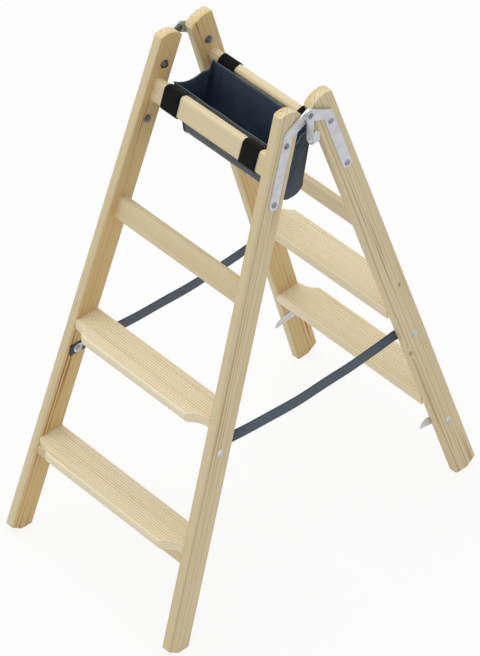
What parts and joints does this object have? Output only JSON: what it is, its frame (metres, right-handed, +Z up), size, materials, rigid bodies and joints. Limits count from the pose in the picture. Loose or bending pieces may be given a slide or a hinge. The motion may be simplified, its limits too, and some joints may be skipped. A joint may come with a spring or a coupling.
{
  "type": "trestle ladder",
  "caption": "Folding wooden trestle ladder with grooved steps on both sides, steel hinges, safety straps, a fabric tool bag and a bucket hook.",
  "frame": {"origin": "on the floor under the middle of the pivot axis, half way between the feet of the open ladder", "axes": "+X along the steps towards the side with the bucket hook, +Y from the front ladder to the rear ladder, +Z up"},
  "size_m": [0.4998, 0.8456, 1.1208],
  "materials": {
    "stile_wood": "planed pine, matt",
    "step_wood": "planed pine with grooves, matt",
    "slat_wood": "planed pine, matt",
    "steel": "zinc plated sheet, satin",
    "zinc": "zinc plated fasteners, satin",
    "webbing": "woven webbing",
    "bag_fabric": "coated woven fabric",
    "piping": "bound edge",
    "loop_webbing": "hook and loop tape"
  },
  "bodies": {
    "front_ladder": {"front_stile_l": "stile_wood", "front_stile_r": "stile_wood", "front_step_lower": "step_wood", "front_step_upper": "step_wood", "front_step_batten": "step_wood", "front_brace": "slat_wood", "front_top_slat": "slat_wood", "front_plate_l": "steel", "front_plate_r": "steel", "front_upper_bolt_l": "zinc", "front_upper_bolt_r": "zinc", "front_lower_bolt_l": "zinc", "front_lower_bolt_r": "zinc", "front_upper_nut_l": "zinc", "front_upper_nut_r": "zinc", "front_lower_nut_l": "zinc", "front_lower_nut_r": "zinc", "pivot_rivet_l": "zinc", "pivot_rivet_r": "zinc", "strap_l": "webbing", "strap_r": "webbing", "front_strap_bolt_l": "zinc", "front_strap_bolt_r": "zinc", "front_strap_nut_l": "zinc", "front_strap_nut_r": "zinc", "tool_bag": "bag_fabric", "bag_rim": "piping", "front_loop_l": "loop_webbing", "front_loop_r": "loop_webbing"},
    "rear_ladder": {"rear_stile_l": "stile_wood", "rear_stile_r": "stile_wood", "rear_step_lower": "step_wood", "rear_step_upper": "step_wood", "rear_step_batten": "step_wood", "rear_brace": "slat_wood", "rear_top_slat": "slat_wood", "rear_plate_l": "steel", "rear_plate_r": "steel", "rear_upper_bolt_l": "zinc", "rear_upper_bolt_r": "zinc", "rear_lower_bolt_l": "zinc", "rear_lower_bolt_r": "zinc", "rear_upper_nut_l": "zinc", "rear_upper_nut_r": "zinc", "rear_lower_nut_l": "zinc", "rear_lower_nut_r": "zinc", "rear_strap_bolt_l": "zinc", "rear_strap_bolt_r": "zinc", "rear_strap_nut_l": "zinc", "rear_strap_nut_r": "zinc", "clip_l": "steel", "clip_r": "steel", "clip_bolt_l": "zinc", "clip_bolt_r": "zinc", "clip_nut_l": "zinc", "clip_nut_r": "zinc", "rear_loop_l": "loop_webbing", "rear_loop_r": "loop_webbing"},
    "bucket_hook": {"hook": "steel"}
  },
  "joints": [
    {"name": "fold", "type": "hinge", "parent": "front_ladder", "child": "rear_ladder", "pos_m": [0, 0, 1.0983], "axis": [-1, 0, 0], "range_deg": [0, 36], "deforming": ["strap_l", "strap_r", "tool_bag", "bag_rim"]},
    {"name": "hook_swing", "type": "hinge", "parent": "front_ladder", "child": "bucket_hook", "pos_m": [0.18699, 0, 1.0983], "axis": [1, 0, 0], "continuous": true}
  ]
}
